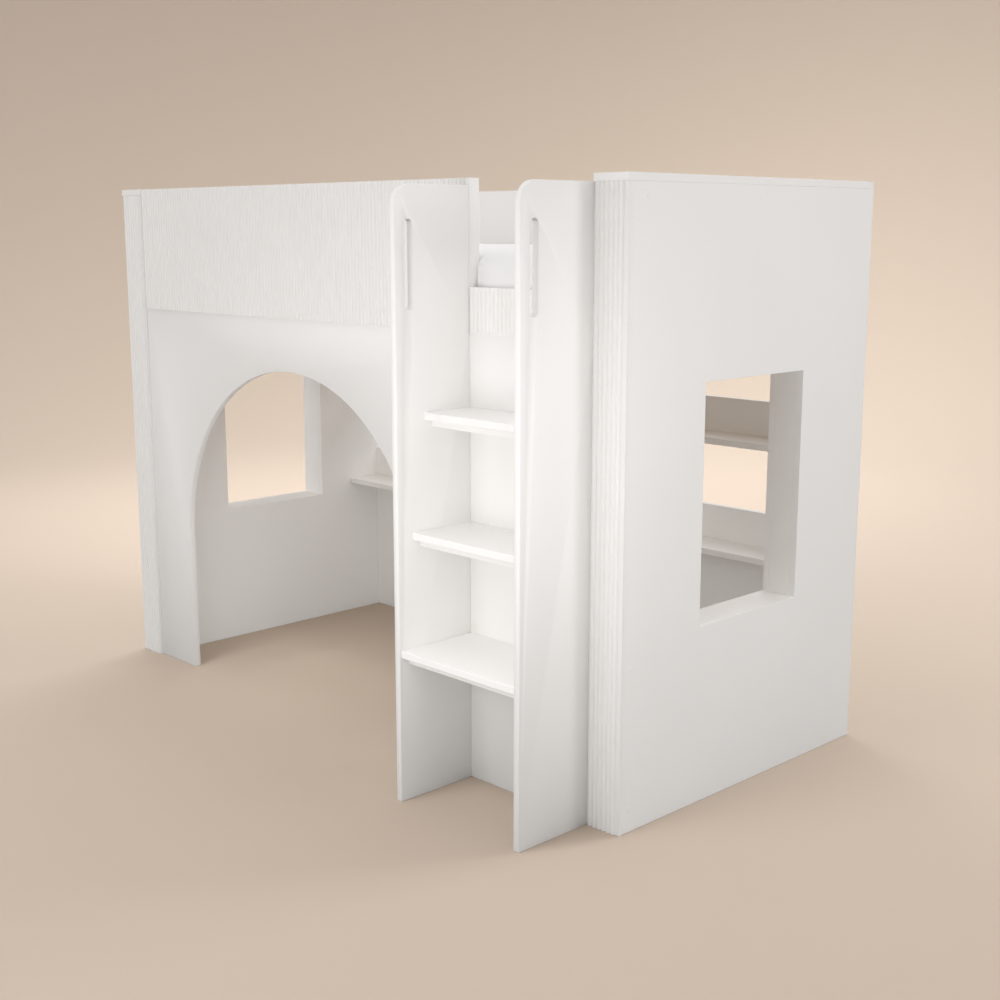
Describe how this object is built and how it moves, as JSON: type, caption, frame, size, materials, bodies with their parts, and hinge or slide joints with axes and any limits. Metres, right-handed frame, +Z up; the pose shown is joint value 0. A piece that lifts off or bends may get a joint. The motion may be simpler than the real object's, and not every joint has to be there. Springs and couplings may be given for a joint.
{
  "type": "mid sleeper bed",
  "caption": "Raised single bed between two boxed end walls with windows, an arched play space below, fluted guard rail, ladder with deep treads, back shelves and a lift-out mattress.",
  "frame": {"origin": "on the floor, under the middle of the overall box (ladder included)", "axes": "+X along the bed towards the ladder end, +Y from the ladder side to the back, +Z up"},
  "size_m": [2.12, 1.2052, 1.516],
  "materials": {
    "painted_board": "smooth satin warm white paint on board, hairline joints, slightly softened edges",
    "painted_fluting": "satin warm white paint over machined round ribs, slightly thinner on the crests",
    "painted_ladder": "satin warm white paint with eased edges where hands and feet touch",
    "pine": "bare planed softwood with fine straight grain",
    "mattress_fabric": "soft matt white knitted cover over foam"
  },
  "bodies": {
    "bed_frame": {"back_guard_board": "painted_board", "back_lower_panel": "painted_board", "back_lower_shelf": "painted_board", "back_slat_bearer": "pine", "back_upper_rail": "painted_board", "back_upper_shelf": "painted_board", "entry_fluted_rail": "painted_fluting", "front_arch_panel": "painted_board", "front_guard_backing_board": "painted_board", "front_guard_fluted_board": "painted_fluting", "front_slat_bearer": "pine", "ladder_left_side": "painted_ladder", "ladder_lower_tread": "painted_ladder", "ladder_lower_tread_rail": "painted_ladder", "ladder_middle_tread": "painted_ladder", "ladder_middle_tread_rail": "painted_ladder", "ladder_right_side": "painted_ladder", "ladder_upper_tread": "painted_ladder", "ladder_upper_tread_rail": "painted_ladder", "left_wall_back_stile": "painted_board", "left_wall_bottom_rail": "pine", "left_wall_fluted_front": "painted_fluting", "left_wall_front_stile": "pine", "left_wall_inner_panel": "painted_board", "left_wall_outer_panel": "painted_board", "left_wall_top_board": "painted_board", "left_wall_top_rail": "pine", "left_window_back_jamb": "painted_board", "left_window_front_jamb": "painted_board", "left_window_head": "painted_board", "left_window_sill": "painted_board", "right_wall_back_stile": "painted_board", "right_wall_bottom_rail": "pine", "right_wall_fluted_front": "painted_fluting", "right_wall_front_stile": "pine", "right_wall_inner_panel": "painted_board", "right_wall_outer_panel": "painted_board", "right_wall_top_board": "painted_board", "right_wall_top_rail": "pine", "right_window_back_jamb": "painted_board", "right_window_front_jamb": "painted_board", "right_window_head": "painted_board", "right_window_sill": "painted_board", "slat_01": "pine", "slat_02": "pine", "slat_03": "pine", "slat_04": "pine", "slat_05": "pine", "slat_06": "pine", "slat_07": "pine", "slat_08": "pine", "slat_09": "pine", "slat_10": "pine", "slat_11": "pine", "slat_12": "pine", "slat_13": "pine", "slat_14": "pine"},
    "mattress": {"mattress": "mattress_fabric"}
  },
  "joints": [
    {"name": "mattress_lift", "type": "slide", "parent": "bed_frame", "child": "mattress", "axis": [0, 0, 1], "range_m": [0, 0.38]}
  ]
}
